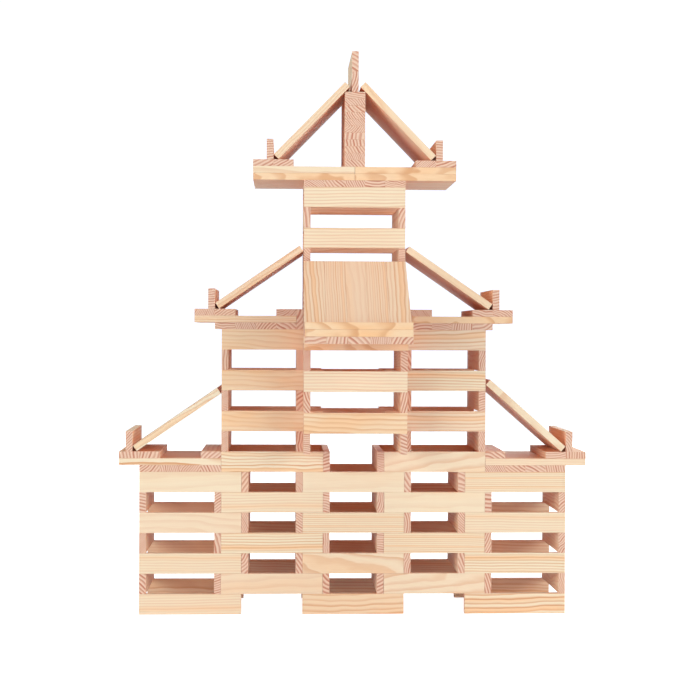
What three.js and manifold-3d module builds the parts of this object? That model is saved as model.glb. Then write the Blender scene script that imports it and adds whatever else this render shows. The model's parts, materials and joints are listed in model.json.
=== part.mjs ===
// A tower built from loose, identical pine planks, in millimetres, +Z up, front facing -Y.
//
// Every piece is the same plank: one thickness by three thicknesses by fifteen. Planks standing on
// edge make the courses of the walls: "long" planks run left to right at the front and the back, and
// "ties" run front to back between them. Planks lying flat make the decks of the eaves and the stack
// that carries the ridge. Planks leaning side by side on a stop make the sloping roofs.
// The origin is the middle of the footprint of the whole tower, on the ground.
import * as THREE from "three";
import { mergeVertices } from "three/addons/utils/BufferGeometryUtils.js";
import Module from "manifold-3d";

const wasm = await Module();
wasm.setup();

// ---------------------------------------------------------------- the plank
const PLANK_THICKNESS = 8;
const PLANK_WIDTH = 24;
const PLANK_LENGTH = 120;
const EDGE_EASE = 0.5; // flat worn along each of the four long edges

// ---------------------------------------------------------------- how the planks are laid
const COURSE_LAP = 24; // how far a long plank overlaps the one below it
const LOWER_STOP_INSET_LEFT = 8; // from the end of the eave to the outer face of its stop
const LOWER_STOP_INSET_RIGHT = 16;
const MIDDLE_STOP_INSET = 16;
const TOP_STOP_INSET = 16;
const BAY_PROJECTION = 44; // how far the bay stands in front of the wall
const BAY_LEDGE = 12; // how far the flat under the bay eave passes the bay's own front
const BAY_EAVE_GAP = 4; // between the back of the bay eave and the wall
const PANEL_CLEARANCE = 0.3; // round every leaning roof panel
const HEAD_LAP = 3; // least length of a top roof past the edge of the post it leans on

// ---------------------------------------------------------------- how many
const BASE_COURSES = 7; // courses of the wide base, under the course that carries the lower eaves
const BAY_PLANK_COURSES = 2; // courses of the bay with long planks, each between two with ties
const TOWER_COURSES = 6; // ties and long planks by turns, above the flats at the foot of the tower
const FOOT_FLATS = 3; // flats stacked at the foot of the tower, front and back
const TOP_DECK_LAYERS = 2;
const RIDGE_PLANKS = 2;

// ---------------------------------------------------------------- places that follow from those
const T = PLANK_THICKNESS;
const W = PLANK_WIDTH;
const L = PLANK_LENGTH;
const STEP = L - COURSE_LAP; // from one plank to the next it overlaps
const TOWER_X = -L / 2; // left side of the tower and of the middle plank of the base
const WALL_X = TOWER_X - STEP; // left side of the middle storey
const BASE_X = WALL_X - STEP; // left end of the base
const ABREAST = Math.floor(L / W + 1e-9); // flats side by side across one plank length
const BEARERS = Math.floor(STEP / W + 1e-9); // flats side by side under an eave
const BACK = L - T; // front face of the back walls; the front walls start at y = 0

const BASE_TOP = BASE_COURSES * W;
const WALL_FOOT = BASE_TOP + W;
const WALL_COURSES = 2 * (BAY_PLANK_COURSES + 1);
const TOWER_FOOT = WALL_FOOT + WALL_COURSES * W;
const BAY_TOP = TOWER_FOOT - W;
const TOWER_BODY = TOWER_FOOT + FOOT_FLATS * T;
const TOWER_TOP = TOWER_BODY + TOWER_COURSES * W;
const TOP_DECK = TOWER_TOP + T;
const POST_FOOT = TOP_DECK + TOP_DECK_LAYERS * T;
const BAY_FRONT = -BAY_PROJECTION;
const BAY_EAVE_BACK = -BAY_EAVE_GAP;
const BAY_EAVE_FRONT = BAY_EAVE_BACK - L;

// ---------------------------------------------------------------- materials
const pine = (color) => new THREE.MeshStandardMaterial({ color, roughness: 0.62, metalness: 0 });
const COLOURS = {
  long: 0xf0dab4,
  tie: 0xe8c6a0,
  deck: 0xecd0a6,
  stop: 0xe2b894,
  roof: 0xf3dfbd,
};

// ---------------------------------------------------------------- one plank
// Its section, a rectangle with the four corners eased, is extruded along the plank.
function section(a, b) {
  const e = EDGE_EASE;
  const outline = [
    [e, 0],
    [a - e, 0],
    [a, e],
    [a, b - e],
    [a - e, b],
    [e, b],
    [0, b - e],
    [0, e],
  ];
  return new THREE.Shape(outline.map(([x, y]) => new THREE.Vector2(x, y)));
}

function plankAlong(axis, a, b, x, y, z) {
  const body = new THREE.ExtrudeGeometry(section(a, b), { depth: L, bevelEnabled: false });
  const X = new THREE.Vector3(1, 0, 0);
  const Y = new THREE.Vector3(0, 1, 0);
  const Z = new THREE.Vector3(0, 0, 1);
  const turn = new THREE.Matrix4();
  if (axis === "x") turn.makeBasis(Y, Z, X);
  else turn.makeBasis(Z, X, Y);
  body.applyMatrix4(turn.setPosition(x, y, z));
  body.deleteAttribute("normal");
  body.deleteAttribute("uv");
  return mergeVertices(body, 1e-4);
}

// The four ways a plank is laid, each given the corner with the lowest x, y and z.
const long = (x, y, z) => plankAlong("x", T, W, x, y, z);
const tie = (x, y, z) => plankAlong("y", W, T, x, y, z);
const flatAcross = (x, y, z) => plankAlong("x", W, T, x, y, z);
const flatDeep = (x, y, z) => plankAlong("y", T, W, x, y, z);

// ---------------------------------------------------------------- joining planks into one piece
function solidOf(geometry) {
  return new wasm.Manifold(
    new wasm.Mesh({
      numProp: 3,
      vertProperties: geometry.attributes.position.array,
      triVerts: new Uint32Array(geometry.index.array),
    }),
  );
}

function joined(planks) {
  const whole = planks.map(solidOf).reduce((sum, next) => sum.add(next));
  const mesh = whole.getMesh();
  const geometry = new THREE.BufferGeometry();
  geometry.setAttribute("position", new THREE.BufferAttribute(mesh.vertProperties, 3));
  geometry.setIndex(new THREE.BufferAttribute(mesh.triVerts, 1));
  geometry.computeVertexNormals();
  return geometry;
}

function piece(parent, name, colour, planks) {
  const mesh = new THREE.Mesh(joined(planks), pine(colour));
  mesh.name = name;
  parent.add(mesh);
  return mesh;
}

function storey(parent, name) {
  const made = new THREE.Group();
  made.name = name;
  parent.add(made);
  return made;
}

// The same place on the other side of the middle plane, for something dx wide.
const other = (x, dx) => -x - dx;
const SIDES = [
  ["left", (x) => x],
  ["right", other],
];

// Long planks at the front and the back.
const pair = (x, z) => [long(x, 0, z), long(x, BACK, z)];

// Flats side by side over one plank length, in the middle of it.
function abreast(lay, from) {
  const slack = (L - ABREAST * W) / 2;
  return Array.from({ length: ABREAST }, (_, i) => lay(from + slack + i * W));
}

// ---------------------------------------------------------------- leaning roof panels
// A panel leans inwards from its stop. In its own frame the planks run along +u from the heel, the
// upper edge of the low end, and hang below it, and they lie side by side along v.
function panelGeometry() {
  const planks = abreast((v) => plankAlong("x", W, T, 0, v, -T), 0);
  return joined(planks);
}

// Leaning with both ends touching: foot on the deck and head against a wall, reach away.
function slopeToWall(reach) {
  return Math.acos(reach / Math.hypot(L, T)) + Math.atan2(T, L);
}

// Leaning on the edge that is reach away and rise above the deck: bisected.
function slopeToEdge(reach, rise) {
  let low = 0;
  let high = Math.PI / 2;
  for (let i = 0; i < 60; i++) {
    const s = (low + high) / 2;
    const over = rise * Math.cos(s) - reach * Math.sin(s) + T * Math.sin(s) ** 2;
    if (over > 0) low = s;
    else high = s;
  }
  return (low + high) / 2;
}

// The heel corner of a panel whose foot rests at height z, its stop's inner face at s.
function panel(parent, name, facing, s, v, z, slope) {
  const heel = z + PANEL_CLEARANCE + T * Math.cos(slope);
  const mesh = new THREE.Mesh(panelGeometry(), pine(COLOURS.roof));
  mesh.name = name;
  const rise = new THREE.Matrix4().makeRotationY(-slope);
  const turn = new THREE.Matrix4();
  if (facing === "left") turn.makeTranslation(s + PANEL_CLEARANCE, v, heel);
  if (facing === "right") {
    turn.makeRotationZ(Math.PI).setPosition(s - PANEL_CLEARANCE, v + L, heel);
  }
  if (facing === "front") {
    turn.makeRotationZ(Math.PI / 2).setPosition(v + L, s + PANEL_CLEARANCE, heel);
  }
  mesh.applyMatrix4(turn.multiply(rise));
  parent.add(mesh);
}

// ---------------------------------------------------------------- the tower
const group = new THREE.Group();
group.name = "plank_tower";
group.position.y = -(BAY_EAVE_FRONT + L) / 2;

// --- base: courses of long planks with windows between them, and ties at the window edges
const base = storey(group, "base");
for (const [row, y] of [
  ["front", 0],
  ["back", BACK],
]) {
  piece(base, `sill_${row}_left`, COLOURS.long, [long(BASE_X, y, 0)]);
  piece(base, `sill_${row}_centre`, COLOURS.long, [long(TOWER_X, y, 0)]);
  piece(base, `sill_${row}_right`, COLOURS.long, [long(other(BASE_X, L), y, 0)]);
}
for (let course = 2; course <= BASE_COURSES; course++) {
  const z = (course - 1) * W;
  if (course % 2 === 0) {
    for (const [side, at] of SIDES) {
      const ring = [...pair(at(WALL_X, L), z)];
      ring.push(tie(at(WALL_X - T, T), 0, z), tie(at(WALL_X + L, T), 0, z));
      piece(base, `course${course}_frame_${side}`, COLOURS.long, ring);
      piece(base, `course${course}_end_tie_${side}`, COLOURS.tie, [tie(at(BASE_X, T), 0, z)]);
    }
  } else {
    for (const [side, at] of SIDES) {
      const bracket = [...pair(at(BASE_X, L), z), tie(at(BASE_X + L, T), 0, z)];
      piece(base, `course${course}_bracket_${side}`, COLOURS.long, bracket);
    }
    const ties = SIDES.map(([, at]) => tie(at(TOWER_X - T, T), 0, z));
    piece(base, `course${course}_frame_centre`, COLOURS.long, [...pair(TOWER_X, z), ...ties]);
  }
}

// --- eaves: bearers, a deck across them, flats on the deck and a stop on edge at the outer end
// Built for the left, inner is the face they end at.
function eave(parent, name, at, inner, z, extra) {
  const planks = [...extra];
  for (let i = 0; i < BEARERS; i++) planks.push(flatDeep(at(inner - (i + 1) * W, W), 0, z));
  planks.push(...abreast((y) => flatAcross(at(inner - L, L), y, z + T), 0));
  for (const x of [inner - L, inner - L + W, inner - W]) {
    planks.push(flatDeep(at(x, W), 0, z + 2 * T));
  }
  piece(parent, name, COLOURS.deck, planks);
}

const lower = storey(group, "lower_eaves");
for (const [side, at] of SIDES) {
  const inset = side === "left" ? LOWER_STOP_INSET_LEFT : LOWER_STOP_INSET_RIGHT;
  const stop = WALL_X - L + inset;
  const z = BASE_TOP + 3 * T;
  eave(lower, `lower_eave_${side}`, at, WALL_X, BASE_TOP, []);
  piece(lower, `lower_stop_${side}`, COLOURS.stop, [tie(at(stop, T), 0, z)]);
  const reach = WALL_X - stop - T - 2 * PANEL_CLEARANCE;
  panel(lower, `lower_roof_${side}`, side, at(stop + T, 0), 0, z, slopeToWall(reach));
}

// --- middle storey: two side stacks of long planks and ties
const middle = storey(group, "middle");
for (const [side, at] of SIDES) {
  const plankCourse = (z) => pair(at(WALL_X, L), z);
  const tieCourse = (z) => [tie(at(WALL_X, T), 0, z), tie(at(TOWER_X - T, T), 0, z)];
  const foot = [...plankCourse(BASE_TOP), tie(at(WALL_X + L, T), 0, BASE_TOP)];
  foot.push(...tieCourse(WALL_FOOT), ...plankCourse(WALL_FOOT + W));
  piece(middle, `side_stack_1_${side}`, COLOURS.long, foot);
  for (let i = 1; i < WALL_COURSES / 2; i++) {
    const z = WALL_FOOT + 2 * i * W;
    const planks = [...tieCourse(z), ...plankCourse(z + W)];
    piece(middle, `side_stack_${i + 1}_${side}`, COLOURS.long, planks);
  }
}

// --- bay: ties standing forward of the wall, carrying long planks at both their ends
const bay = storey(group, "bay");
const bayTies = (z) => SIDES.map(([, at]) => tie(at(TOWER_X, T), BAY_FRONT, z));
const bayBack = BAY_FRONT + L - T;
for (let i = 0; i < BAY_PLANK_COURSES; i++) {
  const z = WALL_FOOT + 2 * i * W;
  const planks = [...bayTies(z), long(TOWER_X, BAY_FRONT, z + W), long(TOWER_X, bayBack, z + W)];
  if (i === BAY_PLANK_COURSES - 1) {
    planks.push(...bayTies(z + 2 * W));
    planks.push(flatAcross(TOWER_X, BAY_FRONT - BAY_LEDGE, BAY_TOP));
    planks.push(flatAcross(TOWER_X, BAY_EAVE_BACK - W, BAY_TOP));
  }
  piece(bay, `bay_frame_${i + 1}`, COLOURS.long, planks);
}
const bayDeck = BAY_TOP + T;
const bayEave = abreast((x) => flatDeep(x, BAY_EAVE_FRONT, bayDeck), TOWER_X);
for (const y of [BAY_EAVE_FRONT, BAY_EAVE_FRONT + W, BAY_EAVE_BACK - W]) {
  bayEave.push(flatAcross(TOWER_X, y, bayDeck + T));
}
piece(bay, "bay_eave", COLOURS.deck, bayEave);
const bayStop = bayDeck + 2 * T;
piece(bay, "bay_stop", COLOURS.stop, [flatAcross(TOWER_X, BAY_EAVE_FRONT, bayStop)]);
const bayReach = -(BAY_EAVE_FRONT + W) - 2 * PANEL_CLEARANCE;
panel(bay, "bay_roof", "front", BAY_EAVE_FRONT + W, TOWER_X, bayStop, slopeToWall(bayReach));

// --- middle eaves, each with a plank on edge between its deck and the foot of the tower
const mid = storey(group, "middle_eaves");
for (const [side, at] of SIDES) {
  const inner = TOWER_X - T;
  const stop = inner - L + MIDDLE_STOP_INSET;
  const z = TOWER_FOOT + 3 * T;
  eave(mid, `middle_eave_${side}`, at, inner, TOWER_FOOT, [tie(at(inner, T), 0, TOWER_FOOT)]);
  piece(mid, `middle_stop_${side}`, COLOURS.stop, [tie(at(stop, T), 0, z)]);
  const reach = TOWER_X - stop - T - 2 * PANEL_CLEARANCE;
  panel(mid, `middle_roof_${side}`, side, at(stop + T, 0), 0, z, slopeToWall(reach));
}

// --- tower: flats at its foot, ties and long planks by turns, and flats over the top course
const tower = storey(group, "tower");
const towerCourse = (i) => {
  const z = TOWER_BODY + i * W;
  return i % 2 === 0 ? SIDES.map(([, at]) => tie(at(TOWER_X, T), 0, z)) : pair(TOWER_X, z);
};
const towerLower = [];
for (let i = 0; i < FOOT_FLATS; i++) {
  const z = TOWER_FOOT + i * T;
  towerLower.push(flatAcross(TOWER_X, 0, z), flatAcross(TOWER_X, L - W, z));
}
const towerUpper = abreast((x) => flatDeep(x, 0, TOWER_TOP), TOWER_X);
for (let i = 0; i < TOWER_COURSES; i++) (i < 2 ? towerLower : towerUpper).push(...towerCourse(i));
piece(tower, "tower_lower", COLOURS.long, towerLower);
piece(tower, "tower_upper", COLOURS.long, towerUpper);

// --- top eave: two planks end to end and one plank length deep, and the stops of the top roofs
const top = storey(group, "top");
const topEave = [];
for (let layer = 0; layer < TOP_DECK_LAYERS; layer++) {
  const z = TOP_DECK + layer * T;
  for (const x of [-L, 0]) topEave.push(...abreast((y) => flatAcross(x, y, z), 0));
}
for (const [, at] of SIDES) {
  for (const x of [-L, -L + W]) topEave.push(flatDeep(at(x, W), 0, POST_FOOT));
}
piece(top, "top_eave", COLOURS.deck, topEave);

// The top roofs stand on the eave's upper flats and lean on the post's top edges, so the post is as
// many flats high as still leaves their heads past its edge.
const topStop = -L + TOP_STOP_INSET;
const topReach = -W / 2 - topStop - T - PANEL_CLEARANCE;
const pastEdge = (rise) => L - rise / Math.sin(slopeToEdge(topReach, rise));
let rises = 1;
while (pastEdge((rises + 1) * T) >= HEAD_LAP) rises++;
const POST_TOP = POST_FOOT + T + rises * T;
const topSlope = slopeToEdge(topReach, rises * T);

const postFlats = [];
for (let z = POST_FOOT; z < POST_TOP - T / 2; z += T) postFlats.push(flatDeep(-W / 2, 0, z));
piece(top, "post", COLOURS.tie, postFlats);
for (let i = 0; i < RIDGE_PLANKS; i++) {
  piece(top, `ridge_${i + 1}`, COLOURS.stop, [tie(-T / 2, 0, POST_TOP + i * W)]);
}
for (const [side, at] of SIDES) {
  const z = POST_FOOT + T;
  piece(top, `top_stop_${side}`, COLOURS.stop, [tie(at(topStop, T), 0, z)]);
  panel(top, `top_roof_${side}`, side, at(topStop + T, 0), 0, z, topSlope);
}

export default group;
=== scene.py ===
# %% [markdown]
# # A tower stacked from loose pine planks
# The real object is a small castle built from some 270 identical pine planks, with no glue and
# no fixings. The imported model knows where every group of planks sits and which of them
# move. This lesson gives each plank its own shape, its own place in a log, and pine to look at.
# A block with a picture of wood on it would be quicker, but its rings would not run on from
# the faces into the sawn ends, and that is what the eye looks for in stacked timber.

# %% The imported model
import json
import math

import bpy
import numpy as np
from mathutils import Matrix, Vector

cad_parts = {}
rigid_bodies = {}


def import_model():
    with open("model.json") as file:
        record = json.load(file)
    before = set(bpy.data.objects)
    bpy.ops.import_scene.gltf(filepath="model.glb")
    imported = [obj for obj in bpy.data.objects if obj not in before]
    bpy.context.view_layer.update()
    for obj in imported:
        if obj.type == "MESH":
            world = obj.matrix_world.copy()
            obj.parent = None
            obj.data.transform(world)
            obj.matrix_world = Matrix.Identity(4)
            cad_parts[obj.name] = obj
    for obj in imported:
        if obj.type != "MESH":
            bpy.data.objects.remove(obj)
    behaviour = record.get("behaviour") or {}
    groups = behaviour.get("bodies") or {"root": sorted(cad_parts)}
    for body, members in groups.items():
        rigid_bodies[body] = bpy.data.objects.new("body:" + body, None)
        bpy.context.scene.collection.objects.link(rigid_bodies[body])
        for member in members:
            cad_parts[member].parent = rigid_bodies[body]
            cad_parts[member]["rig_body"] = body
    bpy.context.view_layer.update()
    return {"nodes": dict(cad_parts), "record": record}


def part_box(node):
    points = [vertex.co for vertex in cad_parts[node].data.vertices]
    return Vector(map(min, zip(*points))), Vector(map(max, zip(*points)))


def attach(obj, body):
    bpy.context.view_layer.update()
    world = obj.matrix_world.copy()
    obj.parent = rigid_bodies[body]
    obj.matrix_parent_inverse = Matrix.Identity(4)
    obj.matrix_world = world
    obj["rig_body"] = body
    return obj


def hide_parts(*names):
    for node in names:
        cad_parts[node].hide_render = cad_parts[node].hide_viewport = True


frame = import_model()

# %% [markdown]
# ## The plank
# Every piece is one plank: a thickness, three thicknesses wide and fifteen long. The three
# sizes are read from the middle sill of the front wall, which is a single plank on edge, so the
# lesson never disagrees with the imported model. A real plank is a hair smaller than its place in
# the stack, which leaves the thin dark seams between neighbours.

# %% Its sizes
sill_low, sill_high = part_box("sill_front_centre")
LENGTH, THICKNESS, WIDTH = (sill_high[i] - sill_low[i] for i in range(3))
SEAM = 0.00003  # from a plank's face to the edge of its place, in metres
ARRIS = 0.00028  # radius that sanding leaves along the long edges
END_EASE = 0.00018  # the same round the sawn ends
MM = 1000.0  # millimetres in a metre, for the places in the log
print(f"plank: {LENGTH * MM:.0f} x {WIDTH * MM:.0f} x {THICKNESS * MM:.0f} mm")

# %% [markdown]
# The plank is a profile carried along a straight line. The profile is a rectangle with rounded
# corners, and it is drawn at four stations: smaller at both ends, where the saw cut is eased,
# and full size between. That is 48 points and 38 faces, few enough to repeat 270 times, and a
# Bevel modifier on a box would give the same shape with less control over the seams.


# %% Its profile
def rounded_rectangle(width, thickness, radius, inset):
    """Twelve (v, w) points anticlockwise round a rectangle from (0, 0) to (width, thickness).

    Each corner is a quarter circle given by three points: corner centre plus radius times
    (cos a, sin a), with a going 0, 45 and 90 degrees on from the corner's first direction.
    inset moves every point towards the middle by that much on both axes.
    """
    quarter = np.arange(4).repeat(3)
    angle = (quarter + np.tile([0.0, 0.5, 1.0], 4)) * math.pi / 2
    right = np.array([1, 0, 0, 1])[quarter]
    upper = np.array([1, 1, 0, 0])[quarter]
    room = radius + inset
    centre_v = np.where(right == 1, width - room, room)
    centre_w = np.where(upper == 1, thickness - room, room)
    return np.stack([centre_v + radius * np.cos(angle), centre_w + radius * np.sin(angle)], 1)


full_ring = rounded_rectangle(WIDTH, THICKNESS, ARRIS, SEAM)
end_ring = rounded_rectangle(WIDTH, THICKNESS, ARRIS, SEAM + END_EASE)
RING = len(full_ring)
print(f"the profile has {RING} points")

# %% [markdown]
# The faces are the same for every plank: strips of quads between stations, and one flat face
# over each end. The order of the corners decides which way a face looks, and it is chosen here
# so that all of them look outwards.

# %% Its faces
around = np.arange(RING)
onward = (around + 1) % RING
STATIONS = 4
strip = np.stack([around, onward, onward + RING, around + RING], 1)
QUADS = np.concatenate([strip + k * RING for k in range(STATIONS - 1)])
NEAR_END = around[::-1]
FAR_END = (STATIONS - 1) * RING + around
PLANK_POINTS = STATIONS * RING
print(f"{PLANK_POINTS} points, {len(QUADS) + 2} faces")

# %% [markdown]
# ## The ways a plank is laid
# A builder lays a plank in one of four ways: on edge along the wall, on edge from front to
# back, flat along the wall, or flat from front to back. Each way is three directions: where
# the length, the width and the thickness point.

# %% Four ways of laying
X, Y, Z = np.eye(3)
LAYS = {
    "long": (X, Z, Y),
    "tie": (Y, Z, X),
    "flat_across": (X, Y, Z),
    "flat_deep": (Y, X, Z),
}
T, W, L = THICKNESS, WIDTH, LENGTH


def lay(way, x, y, z):
    """One plank: its lowest corner and its three directions."""
    return np.array([x, y, z], float), np.array(LAYS[way])


def many(way, xs, ys, zs):
    """A plank of that way at every combination of the given places."""
    return [lay(way, x, y, z) for z in zs for y in ys for x in xs]


print("ways:", ", ".join(LAYS))

# %% [markdown]
# ## What each part of the tower is made of
# Places are measured from the lowest corner of a part's own box, so each recipe is short and
# serves the left and the right side: the right side is the left one seen in a mirror. The walls
# are courses of long planks that lap the ones below, with ties between them at the windows.

# %% Recipes for the base and the walls
ABREAST = [i * W for i in range(5)]
FRONT_AND_BACK = [0, L - T]


def sill():
    """A single long plank on edge."""
    return [lay("long", 0, 0, 0)]


def upright():
    """A single plank on edge from front to back: an end tie, a stop or a ridge plank."""
    return [lay("tie", 0, 0, 0)]


def ring_course():
    """Two long planks, front and back, closed by a tie at each end."""
    return many("long", [T], FRONT_AND_BACK, [0]) + many("tie", [0, T + L], [0], [0])


def bracket_course():
    """Two long planks and one tie at their inner end; the outer end is open."""
    return many("long", [0], FRONT_AND_BACK, [0]) + many("tie", [L], [0], [0])


def stack_course(z):
    """Ties at the window edges, and a pair of long planks on them."""
    return many("tie", [0, L - W - T], [0], [z]) + many("long", [0], FRONT_AND_BACK, [z + W])


def stack_foot():
    """The lowest course of the middle storey, open at its outer end, and one course on it."""
    return bracket_course() + stack_course(W)


# %% [markdown]
# The eaves are decks of flat planks: bearers below, five boards across them, and a few more on
# top that the roof stands on. The bay and the tower mix ties, long planks and flats by turns.


# %% Recipes for the eaves, the bay and the tower
def eave():
    """Four bearers, five boards across them, and three flats for the roof and its stop."""
    bearers = many("flat_deep", [W * i for i in (1, 2, 3, 4)], [0], [0])
    deck = many("flat_across", [0], ABREAST, [T])
    return bearers + deck + many("flat_deep", [0, W, 4 * W], [0], [2 * T])


def eave_and_tie():
    """An eave with one plank on edge against the tower."""
    return eave() + [lay("tie", L, 0, 0)]


def bay_course(y, z):
    """Two ties that stand forward, and a long plank on each of their ends."""
    return many("tie", [0, L - T], [y], [z]) + many("long", [0], [y, y + L - T], [z + W])


def bay_head(ledge, flat_back):
    """The upper courses of the bay, and the two flats its eave lies on."""
    walls = bay_course(ledge, 0) + many("tie", [0, L - T], [ledge], [2 * W])
    return walls + many("flat_across", [0], [0, flat_back], [3 * W])


def bay_deck():
    """Five boards side by side, and three flats across them."""
    return many("flat_deep", ABREAST, [0], [0]) + many("flat_across", [0], [0, W, 4 * W], [T])


def tower_foot():
    """Three flats in front and at the back, which are one width high, and a course on them."""
    flats = many("flat_across", [0], [0, 4 * W], [0, T, 2 * T])
    return flats + many("tie", [0, L - T], [0], [W]) + many("long", [0], FRONT_AND_BACK, [2 * W])


def tower_head():
    """Two courses of ties and long planks, and five flats side by side on top."""
    walls = []
    for z in (0, 2 * W):
        walls += many("tie", [0, L - T], [0], [z]) + many("long", [0], FRONT_AND_BACK, [z + W])
    return walls + many("flat_deep", ABREAST, [0], [4 * W])


def top_deck():
    """Two layers of boards, two boards long, and two flats at each end."""
    deck = many("flat_across", [0, L], ABREAST, [0, T])
    return deck + many("flat_deep", [0, W, 2 * L - 2 * W, 2 * L - W], [0], [2 * T])


def post_stack(height):
    """A pile of flats, as many as fit in the height."""
    return many("flat_deep", [0], [0], [i * T for i in range(round(height / T))])


print("boards in one eave:", len(eave()))

# %% [markdown]
# A roof is five planks side by side that lean on a stop. Its box gives the slope. With s and c
# the sine and cosine of the slope, the box is L c + T s wide and L s + T c high, two equations
# for two unknowns. The planks hang below the line from the heel, the upper corner of the foot.


# %% Recipe for a leaning roof
def slope_of(run, height):
    """(cosine, sine) of the slope, from the two equations above."""
    scale = L * L - T * T
    return (L * run - T * height) / scale, (L * height - T * run) / scale


def leaning(low, high, towards):
    """Five planks up the slope, in the frame's own places. towards is the way the roof rises."""
    along = 0 if towards[0] else 1
    cosine, sine = slope_of(high[along] - low[along], high[2] - low[2])
    heel = np.array([low[0], low[1], low[2] + T * cosine])
    if towards[along] < 0:
        heel[along] = high[along]
    up = np.array(towards, float) * cosine + Z * sine
    down = np.array(towards, float) * sine - Z * cosine
    beside = Y if along == 0 else X
    return [(heel + beside * W * i, np.array([up, beside, down])) for i in range(5)]


roof_low, roof_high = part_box("lower_roof_left")
cosine, sine = slope_of(roof_high[0] - roof_low[0], roof_high[2] - roof_low[2])
print("slope of the left lower roof, degrees:", round(math.degrees(math.atan2(sine, cosine)), 1))


# %% [markdown]
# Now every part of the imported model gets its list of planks. The name of the part says which
# recipe it is made by.


# %% From a name to a recipe
def rises_towards(name):
    """The way a roof rises: the bay's to the back, the others to the middle of the tower."""
    if name.startswith("bay"):
        return (0, 1, 0)
    return (-1, 0, 0) if name.endswith("right") else (1, 0, 0)


def planks_of(name):
    """The planks of one part, in the frame's own places."""
    low, high = (np.array(corner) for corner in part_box(name))
    if "roof" in name:
        return leaning(low, high, rises_towards(name))
    size = high - low
    if name == "bay_stop":
        made = [lay("flat_across", 0, 0, 0)]
    elif name.startswith("sill"):
        made = sill()
    elif "end_tie" in name or "stop" in name or "ridge" in name:
        made = upright()
    elif "bracket" in name:
        made = bracket_course()
    elif "side_stack" in name:
        made = stack_foot() if "stack_1" in name else stack_course(0)
    elif name.startswith("course"):
        made = ring_course()
    elif name == "bay_frame_1":
        made = bay_course(0, 0)
    elif name == "bay_frame_2":
        ledge = size[1] - L
        made = bay_head(ledge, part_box("bay_eave")[1][1] - W - low[1])
    elif name == "bay_eave":
        made = bay_deck()
    elif name.startswith("lower_eave"):
        made = eave()
    elif name.startswith("middle_eave"):
        made = eave_and_tie()
    elif name == "top_eave":
        made = top_deck()
    elif name == "post":
        made = post_stack(size[2])
    else:
        made = tower_foot() if name == "tower_lower" else tower_head()
    mirrored = name.endswith("right")
    placed = []
    for corner, axes in made:
        span = np.abs(axes).T @ np.array([L, W, T])
        if mirrored:
            corner = np.array([size[0] - corner[0] - span[0], corner[1], corner[2]])
        placed.append((low + corner, axes))
    return placed


stack = {name: planks_of(name) for name in sorted(frame["nodes"])}
print("planks in the tower:", sum(len(planks) for planks in stack.values()))

# %% [markdown]
# ## A place in a log for every plank
# Growth rings are cylinders round the pith of the tree. A plank shows whatever rings its place
# in the log cuts: rings that meet the broad face steeply make close straight lines on it, rings
# that lie nearly flat under it make a plain face with a few arches. So each plank is given the
# distance and the direction of the pith, and a slight tilt, and the material works out the
# rings from that. The draws come from one seeded generator, so each run gives the same tower.

# %% Drawing a log place
draw = np.random.default_rng(20)
RING_SPACING = 2.6  # millimetres from one year to the next, in a usual plank
SPACINGS = [2.0, 2.4, 2.8, 3.2, 3.8, 4.6]  # the spacings that are drawn from
LOG_LENGTH = 6000  # mm of log that the planks are cut from
SHORTEST_CUT, LONGEST_CUT = 0.00002, 0.00018  # metres that the saw leaves a plank short, each end
LOG = ("direction", "distance", "spacing", "drift", "pink", "honey", "lines", "sway")


def log_places(count):
    """One row per plank, with the columns of LOG.

    direction: degrees from the plank's width to the line away from the pith; distance: to the
    pith, mm; spacing: between rings, mm; drift: how far the rings lean over the length of the
    plank, mm; pink, honey: how much of those colours; lines: how clear the rings are on a
    face; sway: how far they wander.
    """
    columns = (
        draw.uniform(0, 360, count),
        draw.uniform(30, 120, count),
        draw.choice(SPACINGS, count),
        draw.normal(0, 2.6, count),
        draw.uniform(0, 1, count),
        draw.beta(1.1, 4.0, count),
        draw.uniform(0.35, 1, count),
        draw.uniform(0.2, 0.9, count),
    )
    return np.stack(columns, 1)


print("columns:", ", ".join(LOG))

# %% [markdown]
# The planks that face the viewer are chosen rather than drawn, as a builder would turn the best
# face outwards. Each character below is a row like the drawn ones, and the table names the
# plank by its part and by its number in the part's recipe.

# %% Chosen planks
CHARACTERS = {
    "plain": (78, 90, 3.4, 1, 0.2, 0.14, 0.30, 0.3),
    "rosy": (70, 90, 3.0, 2, 0.6, 0.14, 0.35, 0.4),
    "blush": (70, 90, 2.6, 2, 1.4, 0.0, 0.35, 0.4),
    "blush_close": (14, 110, 2.6, 1, 1.3, 0.0, 0.85, 0.4),
    "faint": (16, 90, 3.0, 1, 0.25, 0.14, 0.60, 0.3),
    "lined": (12, 100, 3.3, 1, 0.0, 0.05, 1.15, 0.3),
    "close": (8, 110, 2.3, 0.5, 0.1, 0.15, 0.95, 0.2),
    "bold": (22, 70, 4.6, 2, 0.1, 0.1, 1.25, 0.5),
    "rosy_bold": (25, 70, 4.0, 2, 0.8, 0.0, 1.0, 0.5),
    "wavy": (20, 70, 3.6, 2, 0.1, 0.05, 1.25, 0.7),
    "arched": (74, 60, 3.2, 6, 0.45, 0.1, 0.75, 0.5),
    "honey": (35, 60, 5.0, 4, 0.2, 0.65, 0.9, 0.5),
    "warm": (60, 80, 2.8, 2, 0.4, 0.75, 0.6, 0.6),
    "pale": (12, 100, 3.6, 1, 0.2, 0.0, 0.75, 0.3),
    "swirled": (4, 45, 4.2, 9, 0.3, 0.85, 0.95, 0.9),
    "striped": (0, 90, 3.2, 1, 0.2, 0.1, 1.0, 0.3),
}
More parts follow.
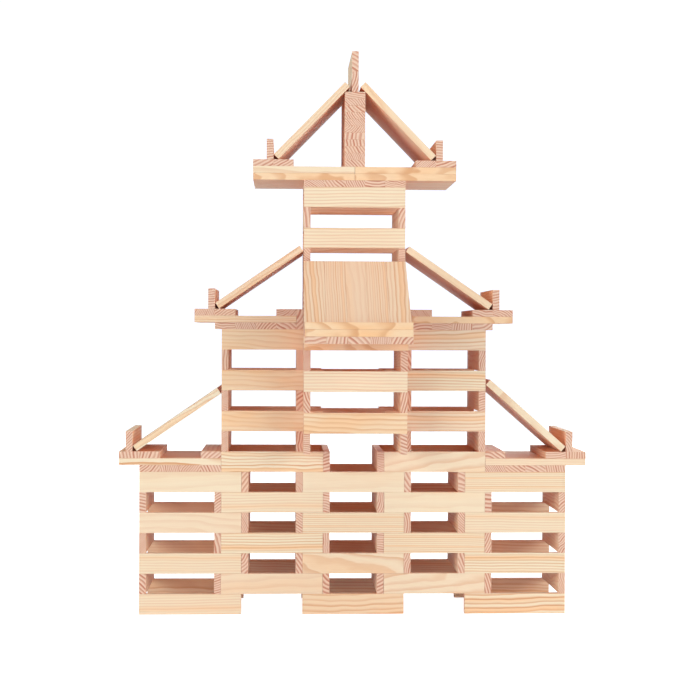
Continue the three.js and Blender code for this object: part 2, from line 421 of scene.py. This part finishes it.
CHOSEN = {
    "sill_front_left": {0: "faint"},
    "sill_front_centre": {0: "honey"},
    "sill_front_right": {0: "bold"},
    "course2_frame_left": {0: "rosy"},
    "course2_frame_right": {0: "arched"},
    "course3_bracket_left": {0: "faint"},
    "course3_frame_centre": {0: "arched"},
    "course3_bracket_right": {0: "lined"},
    "course4_frame_left": {0: "lined"},
    "course4_frame_right": {0: "close"},
    "course5_bracket_left": {0: "rosy"},
    "course5_frame_centre": {0: "close"},
    "course5_bracket_right": {0: "faint"},
    "course6_frame_left": {0: "faint"},
    "course6_frame_right": {0: "plain"},
    "course7_bracket_left": {0: "plain"},
    "course7_frame_centre": {0: "plain"},
    "course7_bracket_right": {0: "close"},
    "side_stack_1_left": {0: "wavy", 5: "warm"},
    "side_stack_2_left": {2: "warm"},
    "side_stack_3_left": {2: "warm"},
    "side_stack_1_right": {0: "arched", 5: "rosy_bold"},
    "side_stack_2_right": {2: "lined"},
    "side_stack_3_right": {2: "rosy_bold"},
    "bay_frame_1": {2: "honey"},
    "bay_frame_2": {2: "pale", 6: "swirled"},
    "bay_stop": {0: "swirled"},
    "bay_eave": {5: "swirled"},
    "bay_roof": {0: "rosy_bold", 1: "blush_close", 2: "blush", 3: "blush_close", 4: "rosy_bold"},
    "tower_upper": {2: "pale", 6: "pale"},
    "top_eave": {0: "swirled", 1: "swirled", 10: "faint", 11: "swirled"},
    "top_stop_left": {0: "striped"},
    "top_stop_right": {0: "striped"},
    "middle_eave_right": {4: "swirled"},
    "lower_eave_left": {4: "bold"},
    "lower_eave_right": {4: "rosy"},
}
print("chosen planks:", sum(len(row) for row in CHOSEN.values()))

# %% [markdown]
# ## Making a part
# All planks of a part go into one mesh as separate closed shells. The points of a whole part
# are worked out at once: corner plus length times u, width times v and thickness times w. Three
# attributes travel with the points: where the point lies in the log, the plank's own tone, and
# whether it is on a sawn end.


# %% Points, faces and attributes of a part
def part_arrays(planks, chosen):
    """Points, faces' turns and the three attributes of a list of planks, as whole arrays.

    A point is corner + u * length axis + v * width axis + w * thickness axis. Its log place is
    (start + u, v - middle + distance * cos, w - middle + distance * sin) in millimetres, with
    the drift added along the line away from the pith in proportion to u, and the last two
    scaled so that rings come out at the plank's own spacing.
    """
    count = len(planks)
    corners = np.array([corner for corner, _ in planks])
    axes = np.array([directions for _, directions in planks])
    wood = log_places(count)
    start = draw.uniform(0, LOG_LENGTH, count)
    short = draw.uniform(SHORTEST_CUT, LONGEST_CUT, (count, 2))
    for number, character in chosen.items():
        wood[number] = CHARACTERS[character]
        wood[number, 0] += draw.choice([0, 180]) + draw.uniform(-6, 6)
    profiles = np.stack([end_ring, full_ring, full_ring, end_ring])
    vw = np.broadcast_to(profiles[None], (count, STATIONS, RING, 2))
    near, far = short[:, 0] + SEAM, LENGTH - SEAM - short[:, 1]
    u = np.stack([near, near + END_EASE, far - END_EASE, far], 1)
    u = np.broadcast_to(u[:, :, None], (count, STATIONS, RING))
    local = np.stack([u, vw[..., 0], vw[..., 1]], -1).reshape(count, PLANK_POINTS, 3)
    points = corners[:, None] + np.einsum("npk,nkj->npj", local, axes)

    u, v, w = (local[..., i] * MM for i in range(3))
    column = dict(zip(LOG, wood.T[:, :, None]))
    angle, scale = np.radians(column["direction"]), RING_SPACING / column["spacing"]
    out = column["distance"] + (u / (LENGTH * MM) - 0.5) * column["drift"]
    across = (v - WIDTH * MM / 2 + out * np.cos(angle)) * scale
    through = (w - THICKNESS * MM / 2 + out * np.sin(angle)) * scale
    place = np.stack([u + start[:, None], across, through], -1)
    tones = np.stack([column[key] for key in ("pink", "honey", "lines", "sway")], -1)
    tones = np.broadcast_to(tones, (count, PLANK_POINTS, 4))
    sawn = np.zeros((count, STATIONS, RING))
    sawn[:, [0, -1]] = 1
    turned = np.linalg.det(axes) < 0
    return points, place, tones, sawn.reshape(count, -1), turned


# %% [markdown]
# Half of the ways of laying are mirror images of the others, which would turn their faces
# inside out, so those planks list their corners backwards.


# %% From arrays to an object
def make_part(name, planks, chosen):
    """One mesh object of the given planks, with the attributes log, tone and sawn."""
    points, place, tones, sawn, turned = part_arrays(planks, chosen)
    first = np.arange(len(planks)) * PLANK_POINTS
    quads = np.where(turned[:, None, None], QUADS[:, ::-1], QUADS) + first[:, None, None]
    caps = np.stack([NEAR_END, FAR_END])
    caps = np.where(turned[:, None, None], caps[:, ::-1], caps) + first[:, None, None]
    faces = quads.reshape(-1, 4).tolist() + caps.reshape(-1, RING).tolist()
    mesh = bpy.data.meshes.new(name)
    mesh.from_pydata(points.reshape(-1, 3).tolist(), [], faces)
    for label, kind, field, values in (
        ("log", "FLOAT_VECTOR", "vector", place),
        ("tone", "FLOAT_COLOR", "color", tones),
        ("sawn", "FLOAT", "value", sawn),
    ):
        mesh.attributes.new(label, kind, "POINT").data.foreach_set(field, values.reshape(-1))
    mesh.update()
    made = bpy.data.objects.new(name, mesh)
    bpy.context.scene.collection.objects.link(made)
    return made


parts = {
    name: make_part("planks_" + name, planks, CHOSEN.get(name, {}))
    for name, planks in stack.items()
}
print("faces in all:", sum(len(part.data.polygons) for part in parts.values()))

# %% [markdown]
# ## Pine
# Pine is pale earlywood with narrow darker bands of latewood, one pair for each year. On the
# faces the bands are orange-tan lines along the plank. On the sawn ends the same bands are
# darker and redder, since the end grain drinks in light. The material measures the distance
# from the pith, bends it with slow noise because no tree is round, and turns it into bands.


# %% A small kit for node graphs
class Graph:
    """Adds nodes to one material and joins them, each call returning an output socket."""

    def __init__(self, tree):
        self.tree = tree

    def put(self, socket, value):
        """Join a socket to another one, or give it a value; None leaves it alone."""
        if isinstance(value, bpy.types.NodeSocket):
            self.tree.links.new(value, socket)
        elif value is not None:
            socket.default_value = value

    def add(self, kind, inputs=None, output=0, **settings):
        """A new node of the given kind, with its inputs by name or number."""
        node = self.tree.nodes.new(kind)
        for key, value in settings.items():
            setattr(node, key, value)
        for key, value in (inputs or {}).items():
            self.put(node.inputs[key], value)
        return node.outputs[output]

    def math(self, operation, a, b=None, c=None):
        """The result of an operation on one, two or three numbers."""
        return self.add("ShaderNodeMath", {0: a, 1: b, 2: c}, operation=operation)

    def noise(self, vector, scale, detail=2.0, rough=0.5):
        """Smooth noise between 0 and 1."""
        inputs = {"Vector": vector, "Scale": scale, "Detail": detail, "Roughness": rough}
        return self.add("ShaderNodeTexNoise", inputs)

    def stretch(self, vector, factors):
        """The vector with each value times its factor."""
        return self.add("ShaderNodeVectorMath", {0: vector, 1: factors}, operation="MULTIPLY")

    def blend(self, amount, a, b, blend_type="MIX"):
        """From colour a to colour b by amount; with MULTIPLY, from a to a times b."""
        node = self.tree.nodes.new("ShaderNodeMix")
        node.data_type, node.blend_type = "RGBA", blend_type
        for key, value in ((0, amount), (6, a), (7, b)):
            self.put(node.inputs[key], value)
        return node.outputs[2]

    def between(self, value, low, high, to_low=0.0, to_high=1.0):
        """The value taken from low..high to to_low..to_high, along a smooth step."""
        names = ("Value", "From Min", "From Max", "To Min", "To Max")
        inputs = dict(zip(names, (value, low, high, to_low, to_high)))
        return self.add("ShaderNodeMapRange", inputs, interpolation_type="SMOOTHSTEP")


print("the kit is ready")

# %% [markdown]
# The colours are those of fresh, sanded pine. They are given as a screen shows them and turned
# into the linear values that light is reckoned in.


# %% Colours of pine
def linear(red, green, blue):
    """A screen colour (0 to 255) as linear light, with an alpha of one."""
    values = np.array([red, green, blue]) / 255
    values = np.where(values <= 0.04045, values / 12.92, ((values + 0.055) / 1.055) ** 2.4)
    return (*values.tolist(), 1.0)


CREAM = linear(243, 224, 190)  # earlywood of most planks
PEACH = linear(243, 212, 179)  # earlywood of the pinker ones
HONEY = linear(247, 190, 133)  # resin-rich patches
LATE = linear(219, 155, 106)  # latewood on a face
END_EARLY = linear(236, 200, 172)  # earlywood on a sawn end
END_LATE = linear(196, 120, 92)  # latewood on a sawn end
PAINTED_BOUNCE_SHADE = (1.0, 0.46, 0.22, 1)  # painted shade: light that pine passes on is also multiplied by this, darker and redder than the wood's own colour makes it
print("cream in linear light:", [round(v, 3) for v in CREAM[:3]])

# %% [markdown]
# The distance from the pith is the length of the last two values of the log place. Noise that is
# stretched along the log moves it in and out. Divided by the ring spacing it counts years: the
# whole part tells the years apart, and the rest is the season, from 0 in spring to 1 when growth
# stops. Some years grow a strong band and some a weak one, and chance settles which.


# %% How the rings run
SLOW_NOISE, SLOW_BEND = (0.010, 0.035, 0.035), 12.0  # how fine, per mm, and how far it moves, mm
QUICK_NOISE, QUICK_BEND = (0.040, 0.12, 0.12), 2.2
GROWTH_STOPS = 0.90  # the season from which a band fades out again
WEAKEST_YEAR = 0.5  # the strength of the weakest band, where the strongest has 1
FACE_BAND = (0.35, 0.86)  # the seasons between which a band darkens, seen on a face
END_BAND = (0.28, 0.68)  # and seen on a sawn end, where it looks wider


def rings(graph, log, sway):
    """(distance, season, strength) of the ring at a log place.

    distance is the length of (0, across, through), plus sway times each noise times its bend;
    season is the part after the point of distance / spacing; strength is the year's own chance,
    times 1 until growth stops and then down to 0 at the end of the year.
    """
    flat = graph.stretch(log, (0.0, 1.0, 1.0))
    distance = graph.add("ShaderNodeVectorMath", {0: flat}, output=1, operation="LENGTH")
    for fineness, detail, bend in ((SLOW_NOISE, 2.0, SLOW_BEND), (QUICK_NOISE, 1.0, QUICK_BEND)):
        push = graph.math("MULTIPLY", graph.noise(graph.stretch(log, fineness), 1.0, detail), sway)
        distance = graph.math("MULTIPLY_ADD", push, bend, distance)
    years = graph.math("DIVIDE", distance, RING_SPACING)
    season = graph.math("FRACT", years)
    year = {"W": graph.math("FLOOR", years)}
    chance = graph.add("ShaderNodeTexWhiteNoise", year, noise_dimensions="1D")
    vigour = graph.math("MULTIPLY_ADD", chance, 1 - WEAKEST_YEAR, WEAKEST_YEAR)
    fading = graph.between(season, GROWTH_STOPS, 1.0, 1.0, 0.0)
    return distance, season, graph.math("MULTIPLY", fading, vigour)


def band_of(graph, season, strength, seasons):
    """How dark the latewood is: 0 before the two seasons, rising to the strength after them."""
    return graph.math("MULTIPLY", graph.between(season, *seasons), strength)


print("a band darkens in seasons", FACE_BAND, "on a face and", END_BAND, "on an end")

# %% [markdown]
# On a face the bands lie over the earlywood. Resin makes some patches, and some runs of years,
# more honey-coloured, and fine fibres run through everything. On a sawn end the same bands are
# darker, and the fibres are seen end on.

# %% Colour of a face and of a sawn end
FIBRE_NOISE = (0.02, 2.2, 2.2)
RESIN_NOISE = (0.012, 0.06, 0.06)
WET_YEARS_NOISE = 0.16  # how fine the runs of wet years are, per mm of distance
WET_YEARS_SHARE = 0.5  # the most honey that they bring
FACE_FIBRE, END_FIBRE = 0.14, 0.10  # how dark the fibres are
END_DEPTH = 0.95  # how dark the bands are on a sawn end
END_RESIN = 0.4  # how much of the honey shows on a sawn end


def resin(graph, log, honey, warmth):
    """Honey times a half to the whole, by patches, plus warmth."""
    patch = graph.between(graph.noise(graph.stretch(log, RESIN_NOISE), 1.0, 2.0), 0.45, 0.75)
    return graph.math("MULTIPLY_ADD", graph.math("MULTIPLY_ADD", patch, 0.5, 0.5), honey, warmth)


def face_colour(graph, pink, lines, distance, band, fibre, amber):
    """Cream to peach by pink, then honey by wet years and amber, then latewood by the band."""
    wet = {"W": distance, "Scale": WET_YEARS_NOISE, "Detail": 1.0}
    wet = graph.add("ShaderNodeTexNoise", wet, noise_dimensions="1D")
    wet = graph.math("MULTIPLY", graph.between(wet, 0.48, 0.72, 0.0, WET_YEARS_SHARE), lines)
    early = graph.blend(amber, graph.blend(wet, graph.blend(pink, CREAM, PEACH), HONEY), HONEY)
    banded = graph.blend(graph.math("MULTIPLY", band, lines), early, LATE)
    return graph.blend(graph.between(fibre, 0.35, 0.75, 0.0, FACE_FIBRE), banded, LATE)


def end_colour(graph, band, fibre, amber):
    """Pale end grain, honeyed by part of amber, then latewood by the band and the fibre."""
    depth = graph.math("MULTIPLY_ADD", fibre, END_FIBRE, graph.math("MULTIPLY", band, END_DEPTH))
    pale = graph.blend(graph.math("MULTIPLY", amber, END_RESIN), END_EARLY, HONEY)
    return graph.blend(depth, pale, END_LATE)


print("fibres are", round(FIBRE_NOISE[1] / FIBRE_NOISE[0]), "times as long as they are wide")

# %% [markdown]
# The five finishes share one recipe. They differ in how strong the bands are and in the warmth
# of the wood, as planks sorted into walls, ties, decks, stops and roofs would. Latewood is hard
# and takes a little polish, sawn ends are rougher, and both bands and fibres can just be felt.
# Light that one plank passes on to the next turns redder by the wood's own colour and, on top,
# by a fixed darker and redder colour: painted shade that gives the insides of the windows their
# depth.

# %% The recipe of a pine finish
SANDED, POLISH, FIBRE_ROUGH, SAWN_ROUGH = 0.60, -0.12, 0.10, 0.15
SHEEN = 0.32
RELIEF, RELIEF_DEPTH = 0.22, 0.0002  # strength, and metres between the top and the bottom


def pine(name, band_strength, warmth):
    """A material that reads the attributes log, tone and sawn."""
    material = bpy.data.materials.new(name)
    material.use_nodes = True
    graph = Graph(material.node_tree)
    shader = material.node_tree.nodes["Principled BSDF"]

    log = graph.add("ShaderNodeAttribute", output=1, attribute_name="log")
    sawn = graph.add("ShaderNodeAttribute", output=2, attribute_name="sawn")
    tone = graph.add("ShaderNodeAttribute", output=0, attribute_name="tone")
    sway = graph.add("ShaderNodeAttribute", output=3, attribute_name="tone")
    pink, honey, lines = (
        graph.add("ShaderNodeSeparateColor", {0: tone}, output=i) for i in range(3)
    )

    distance, season, strength = rings(graph, log, sway)
    band = band_of(graph, season, strength, FACE_BAND)
    fibre = graph.noise(graph.stretch(log, FIBRE_NOISE), 1.0, 3.0, 0.6)
    amber = resin(graph, log, honey, warmth)
    drawn = graph.math("MULTIPLY", band, band_strength)
    face = face_colour(graph, pink, lines, distance, drawn, fibre, amber)
    end = end_colour(graph, band_of(graph, season, strength, END_BAND), fibre, amber)
    shown = graph.blend(sawn, face, end)
    # Painted shade: light passed on from the wood is multiplied by a darker, redder colour, which
    # deepens the insides of the windows; a camera ray sees the plain wood.
    passed_on = graph.add("ShaderNodeLightPath", output=2)
    colour = graph.blend(passed_on, shown, PAINTED_BOUNCE_SHADE, blend_type="MULTIPLY")
    graph.put(shader.inputs["Base Color"], colour)

    rough = graph.math("MULTIPLY_ADD", band, POLISH, SANDED)
    rough = graph.math("MULTIPLY_ADD", fibre, FIBRE_ROUGH, rough)
    rough = graph.math("MULTIPLY_ADD", sawn, SAWN_ROUGH, rough)
    graph.put(shader.inputs["Roughness"], rough)
    shader.inputs["Specular IOR Level"].default_value = SHEEN
    height = graph.math("MULTIPLY_ADD", band, 0.5, fibre)
    relief = {"Strength": RELIEF, "Distance": RELIEF_DEPTH, "Height": height}
    graph.put(shader.inputs["Normal"], graph.add("ShaderNodeBump", relief))
    return material


FINISHES = {
    "pine_wall": pine("pine of the walls", 0.80, 0.00),
    "pine_tie": pine("pine of the ties", 0.85, 0.02),
    "pine_deck": pine("pine of the decks", 0.85, 0.03),
    "pine_stop": pine("pine of the stops", 0.90, 0.02),
    "pine_roof": pine("pine of the roofs", 0.80, 0.00),
}
print("finishes:", ", ".join(FINISHES))

# %% [markdown]
# ## Setting the parts on the tower
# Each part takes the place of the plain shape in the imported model, moves with the same body,
# and takes its finish from the slot that the record names for it.

# %% Bodies, places and finishes
body_of = {name: node["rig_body"] for name, node in frame["nodes"].items()}
slot_of = {sub["node"]: sub["material_slot"] for sub in frame["record"]["subparts"]}
for name, part in parts.items():
    part.data.materials.append(FINISHES[slot_of[name]])
    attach(part, body_of[name])
    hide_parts(name)
print("parts set:", len(parts))

# %% [markdown]
# ## Floor, light and camera
# The tower stands on pale paper in a white room. The paper is a plain disc made from circles
# of points.


# %% The floor
FLOOR_LEVEL = -0.0002  # metres


def disc(name, radius, circles, sides):
    """Points at (r cos a, r sin a) on each circle, with the middle as one point.

    It lies a hair under the tower, so that the two never share a plane.
    """
    reach = np.linspace(0, radius, circles + 1)[1:]
    angle = np.linspace(0, 2 * math.pi, sides, endpoint=False)
    grid = reach[:, None, None] * np.stack([np.cos(angle), np.sin(angle)], 1)[None]
    flat = np.concatenate([[[0, 0]], grid.reshape(-1, 2)])
    points = np.column_stack([flat, np.full(len(flat), FLOOR_LEVEL)])
    j = np.arange(sides)
    k = (j + 1) % sides
    faces = np.stack([np.zeros(sides, int), 1 + j, 1 + k], 1).tolist()
    for i in range(circles - 1):
        inner, outer = 1 + i * sides, 1 + (i + 1) * sides
        faces += np.stack([inner + j, outer + j, outer + k, inner + k], 1).tolist()
    mesh = bpy.data.meshes.new(name)
    mesh.from_pydata(points.tolist(), [], faces)
    made = bpy.data.objects.new(name, mesh)
    bpy.context.scene.collection.objects.link(made)
    return made


floor = disc("floor", 8.0, 6, 64)
PAPER = (0.87, 0.90, 0.96, 1)
PAPER_SEEN = (0.90, 0.90, 0.90, 1)  # glow that keeps the paper plain white to the eye
PAPER_GLOW = (0.04, 0.11, 0.17, 1)  # faint cool light that it gives the undersides
paper = bpy.data.materials.new("white paper")
paper.use_nodes = True
paper_graph = Graph(paper.node_tree)
paper_shader = paper.node_tree.nodes["Principled BSDF"]
paper_shader.inputs["Base Color"].default_value = PAPER
paper_shader.inputs["Roughness"].default_value = 0.9
seen = paper_graph.add("ShaderNodeLightPath", output=0)
glow = paper_graph.blend(seen, PAPER_GLOW, PAPER_SEEN)
paper_graph.put(paper_shader.inputs["Emission Color"], glow)
paper_shader.inputs["Emission Strength"].default_value = 1.0
floor.data.materials.append(paper)
print("floor made")

# %% [markdown]
# Two large soft boxes stand in front, left and right of the camera, one hangs above, and one
# weaker one lights the back. Large lights throw soft shadows. Two small cool ones stand low at
# the sides and reach the undersides of the eaves. The walls of the white room fill the rest: to
# the eye they are plain white, and they give back much less than that.


# %% The lights
SOFT_WHITE, COOL, NEUTRAL = (0.96, 0.97, 0.97), (0.60, 0.88, 1.0), (1, 1, 1)
ROOM_LIGHT, ROOM_SEEN = 0.20, 1.10  # how bright the walls are as a light, and to the eye
MIDDLE = Vector((0, 0, 0.3))


def soft_box(name, place, size, power, colour):
    """A square light that faces the middle of the tower: metres, metres, watts."""
    data = bpy.data.lights.new(name, "AREA")
    data.shape, data.size, data.energy, data.color = "SQUARE", size, power, colour
    light = bpy.data.objects.new(name, data)
    light.location = place
    light.rotation_euler = (MIDDLE - Vector(place)).to_track_quat("-Z", "Y").to_euler()
    bpy.context.scene.collection.objects.link(light)
    return light


soft_box("front_left", (-2.55, -2.1, 0.9), 1.8, 54, SOFT_WHITE)
soft_box("front_right", (2.65, -2.1, 1.0), 1.8, 53, SOFT_WHITE)
soft_box("above", (0.2, -0.4, 2.8), 1.6, 20, NEUTRAL)
soft_box("behind", (0.6, 2.6, 1.4), 1.6, 28, NEUTRAL)
soft_box("low_left", (-1.7, -0.7, 0.15), 0.8, 6, COOL)
soft_box("low_right", (1.7, -0.7, 0.15), 0.8, 6, COOL)

world = bpy.data.worlds.new("white room")
bpy.context.scene.world = world
world.use_nodes = True
room = Graph(world.node_tree)
walls = world.node_tree.nodes["Background"]
seen = room.add("ShaderNodeLightPath", output=0)
room.put(walls.inputs["Strength"], room.between(seen, 0.0, 1.0, ROOM_LIGHT, ROOM_SEEN))
walls.inputs["Color"].default_value = (0.94, 0.99, 1.12, 1)
bpy.context.scene.view_settings.view_transform = "Standard"

# %% [markdown]
# The camera stands in front of the tower, a little to its left and half way up, and looks
# almost level, so that the top of the tower is seen from below and the base from above.

# %% The camera
CAMERA_PLACE = (-0.0813, -1.8354, 0.3329)
YAW, PITCH, ROLL = (math.radians(a) for a in (2.38, -0.65, 0.25))
LENS, SENSOR = 80.20, 36.0  # millimetres
flat_part = math.cos(PITCH)
ahead = Vector((math.sin(YAW) * flat_part, math.cos(YAW) * flat_part, math.sin(PITCH)))
level = Vector((math.cos(YAW), -math.sin(YAW), 0))
over = level.cross(ahead)
side_axis = level * math.cos(ROLL) + over * math.sin(ROLL)
top_axis = over * math.cos(ROLL) - level * math.sin(ROLL)
lens = bpy.data.cameras.new("camera")
lens.lens, lens.sensor_width = LENS, SENSOR
camera = bpy.data.objects.new("camera", lens)
turn = Matrix((side_axis, top_axis, -ahead)).transposed().to_4x4()
camera.matrix_world = Matrix.Translation(CAMERA_PLACE) @ turn
bpy.context.scene.collection.objects.link(camera)
bpy.context.scene.camera = camera
print("camera at", [round(v, 3) for v in camera.location])
